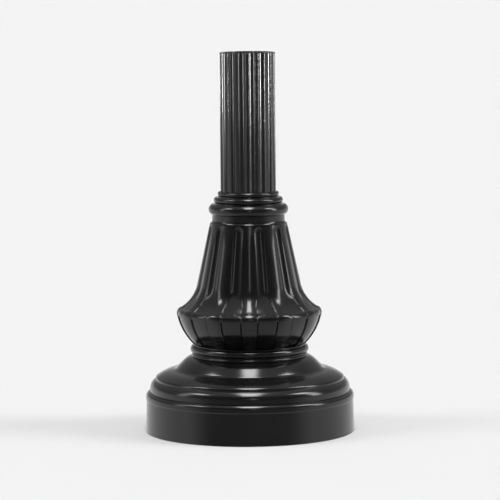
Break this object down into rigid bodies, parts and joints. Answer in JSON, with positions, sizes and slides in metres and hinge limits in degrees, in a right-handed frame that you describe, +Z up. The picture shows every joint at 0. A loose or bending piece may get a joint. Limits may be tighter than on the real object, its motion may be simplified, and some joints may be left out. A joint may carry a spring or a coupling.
{
  "type": "lamp post base",
  "caption": "Lower section of a cast fluted lamp post: round stepped base, ribbed bell with a rear access door, ringed collar and fluted shaft.",
  "frame": {"origin": "centre of the base, on the ground", "axes": "+Z up along the shaft, -Y to the front, away from the access door"},
  "size_m": [0.4296, 0.4296, 0.7772],
  "materials": {
    "post_paint": "black semi-gloss paint on a cast surface",
    "zinc_steel": "zinc plated",
    "galvanised": "hot-dip galvanised, dull",
    "stainless": "bright stainless steel",
    "lock_metal": "nickel plated",
    "brass": "bright",
    "seal_rubber": "matte",
    "bush_plastic": "matte",
    "block_plastic": "matte grey",
    "fuse_plastic": "gloss"
  },
  "bodies": {
    "post": {"plinth_skirt": "post_paint", "pedestal_dome": "post_paint", "neck_ring": "post_paint", "bell_casting": "post_paint", "shaft_collar": "post_paint", "fluted_shaft": "post_paint", "door_frame": "post_paint", "skirt_bolts": "zinc_steel", "stack_bolts": "zinc_steel", "stack_washers": "zinc_steel", "stack_nuts": "zinc_steel", "socket_clamp_screws": "zinc_steel", "socket_lock_nuts": "zinc_steel", "rail_screws": "zinc_steel", "terminal_rail": "zinc_steel", "anchor_plate": "galvanised", "shaft_socket": "galvanised", "socket_gussets": "galvanised", "collar_set_screws": "stainless", "frame_screws": "stainless", "hinge_pins": "stainless", "earth_stud": "brass", "earth_nuts": "brass", "earth_washer": "brass", "terminal_screws": "brass", "door_gasket": "seal_rubber", "hand_hole_edging": "seal_rubber", "cable_entry_bush": "bush_plastic", "terminal_block": "block_plastic", "fuse_base": "block_plastic"},
    "door": {"access_door": "post_paint", "lock_sleeve": "lock_metal"},
    "lock": {"lock_barrel": "lock_metal", "lock_cam": "zinc_steel", "lock_cam_screw": "zinc_steel"},
    "fuse": {"fuse_carrier": "fuse_plastic", "fuse_link": "fuse_plastic"}
  },
  "joints": [
    {"name": "door_hinge", "type": "hinge", "parent": "post", "child": "door", "pos_m": [0.05054, 0.08754, 0.35379], "axis": [0.1063, 0.1841, -0.9771], "range_deg": [0, 110]},
    {"name": "lock_turn", "type": "hinge", "parent": "door", "child": "lock", "pos_m": [-0.02446, 0.0913, 0.3576], "axis": [-0.2529, 0.9438, 0.2126], "range_deg": [0, 90]},
    {"name": "fuse_pull", "type": "slide", "parent": "post", "child": "fuse", "axis": [0, 1, 0], "range_m": [0, 0.025]}
  ]
}
